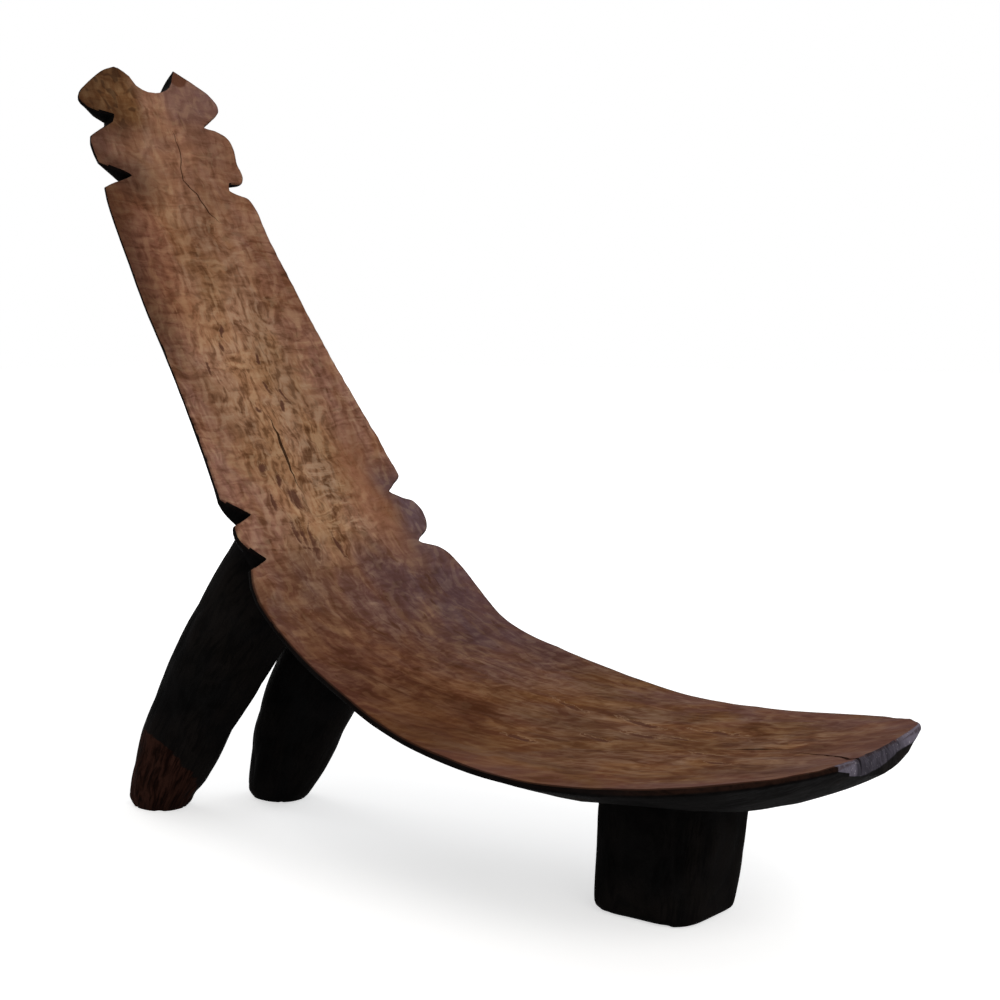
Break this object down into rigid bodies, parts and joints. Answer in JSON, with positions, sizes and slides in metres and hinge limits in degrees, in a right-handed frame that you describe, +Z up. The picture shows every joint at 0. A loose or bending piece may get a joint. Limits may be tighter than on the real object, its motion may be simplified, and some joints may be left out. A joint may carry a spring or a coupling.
{
  "type": "carved wooden chair",
  "caption": "Low reclining chair carved in wood: a long board sweeps from seat to back with a notched waist and horned head, on a block front leg and raked rear legs.",
  "frame": {"origin": "on the floor, under the middle of the chair's bounding box", "axes": "+Z up, the front of the seat faces -Y and the head is at +Y, +X is the sitter's left"},
  "size_m": [0.355, 0.885, 0.7653],
  "materials": {
    "board_wood": "satin",
    "leg_wood": "satin"
  },
  "bodies": {
    "root": {"board": "board_wood", "front_leg": "leg_wood", "rear_leg_right": "leg_wood", "rear_leg_left": "leg_wood"}
  },
  "joints": []
}
